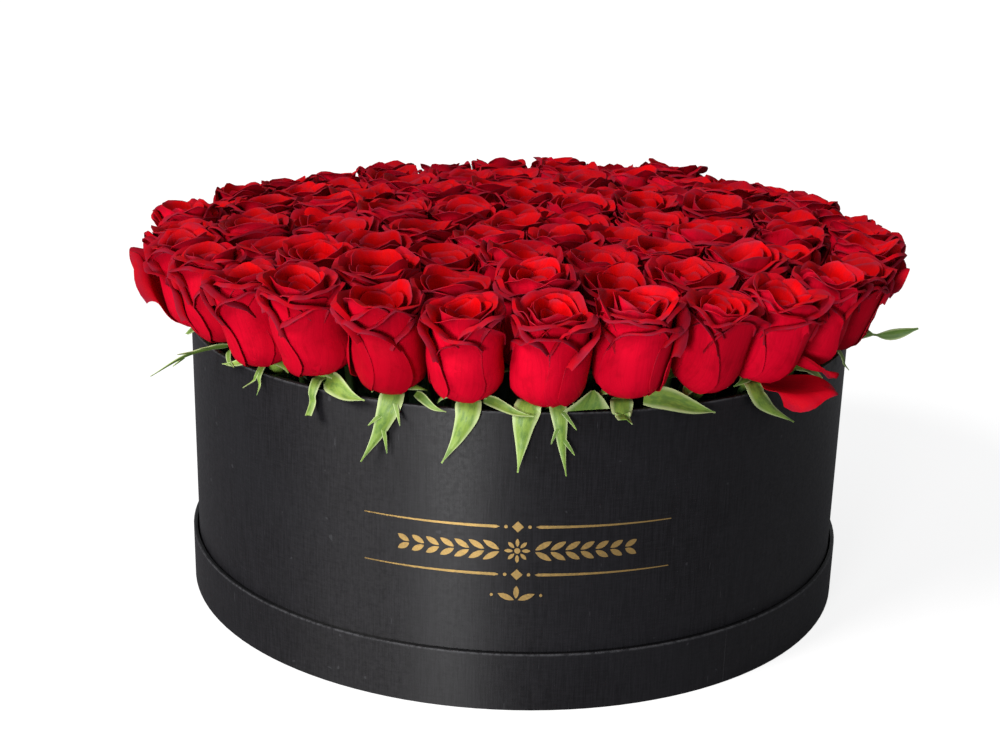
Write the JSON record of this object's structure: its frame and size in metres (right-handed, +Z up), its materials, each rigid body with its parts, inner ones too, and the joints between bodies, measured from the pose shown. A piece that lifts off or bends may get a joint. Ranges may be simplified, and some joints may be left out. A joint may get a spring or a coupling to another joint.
{
  "type": "flower box",
  "caption": "Round papered card box standing in its upturned lid, packed with cut red roses whose heads stand just above the rim in rings.",
  "frame": {"origin": "centre of the lid panel's underside, where the box stands on the table", "axes": "+Z up, the gold print faces -Y"},
  "size_m": [0.4388, 0.4381, 0.2265],
  "materials": {
    "black_paper": "near-black cover paper with a fine linen emboss and a soft sheen",
    "grey_card": "plain grey board, only its cut edge can be seen",
    "gold_foil": "hot-stamped gold foil, satin",
    "liner_plastic": "thin matt plastic",
    "floral_foam": "fine open-celled floral foam",
    "rose_stem": "smooth green stem",
    "rose_sepal": "light green sepal with a paler edge",
    "rose_petal": "velvety crimson petal with a darker rim",
    "rose_heart": "velvety bright red petal"
  },
  "bodies": {
    "lid_tray": {"lid_panel": "grey_card", "lid_wall": "grey_card", "lid_panel_paper": "black_paper", "lid_wall_paper": "black_paper", "lid_lining": "black_paper"},
    "box": {"box_floor": "grey_card", "box_wall": "grey_card", "box_floor_paper": "black_paper", "box_wall_paper": "black_paper", "box_floor_lining": "black_paper", "box_wall_lining": "black_paper", "foil_upper_rule": "gold_foil", "foil_lower_rule": "gold_foil", "foil_garland": "gold_foil", "foil_sprig": "gold_foil"},
    "arrangement": {"liner_tray": "liner_plastic", "foam_brick_1": "floral_foam", "foam_brick_2": "floral_foam", "foam_brick_3": "floral_foam", "foam_brick_4": "floral_foam", "foam_brick_5": "floral_foam", "foam_brick_6": "floral_foam", "foam_offcut_front": "floral_foam", "foam_offcut_back": "floral_foam", "rose_stems_centre": "rose_stem", "rose_stems_ring_1": "rose_stem", "rose_stems_ring_2": "rose_stem", "rose_stems_ring_3": "rose_stem", "rose_stems_ring_4": "rose_stem", "rose_stems_ring_5": "rose_stem", "rose_calyxes_centre": "rose_sepal", "rose_calyxes_ring_1": "rose_sepal", "rose_calyxes_ring_2": "rose_sepal", "rose_calyxes_ring_3": "rose_sepal", "rose_calyxes_ring_4": "rose_sepal", "rose_calyxes_ring_5": "rose_sepal", "rose_outer_petals_centre": "rose_petal", "rose_outer_petals_ring_1": "rose_petal", "rose_outer_petals_ring_2": "rose_petal", "rose_outer_petals_ring_3": "rose_petal", "rose_outer_petals_ring_4": "rose_petal", "rose_outer_petals_ring_5": "rose_petal", "rose_hearts_centre": "rose_heart", "rose_hearts_ring_1": "rose_heart", "rose_hearts_ring_2": "rose_heart", "rose_hearts_ring_3": "rose_heart", "rose_hearts_ring_4": "rose_heart", "rose_hearts_ring_5": "rose_heart", "hanging_sepals": "rose_sepal"}
  },
  "joints": [
    {"name": "box_lift", "type": "slide", "parent": "lid_tray", "child": "box", "axis": [0, 0, 1], "range_m": [0, 0.08]},
    {"name": "arrangement_lift", "type": "slide", "parent": "box", "child": "arrangement", "axis": [0, 0, 1], "range_m": [0, 0.2]}
  ]
}
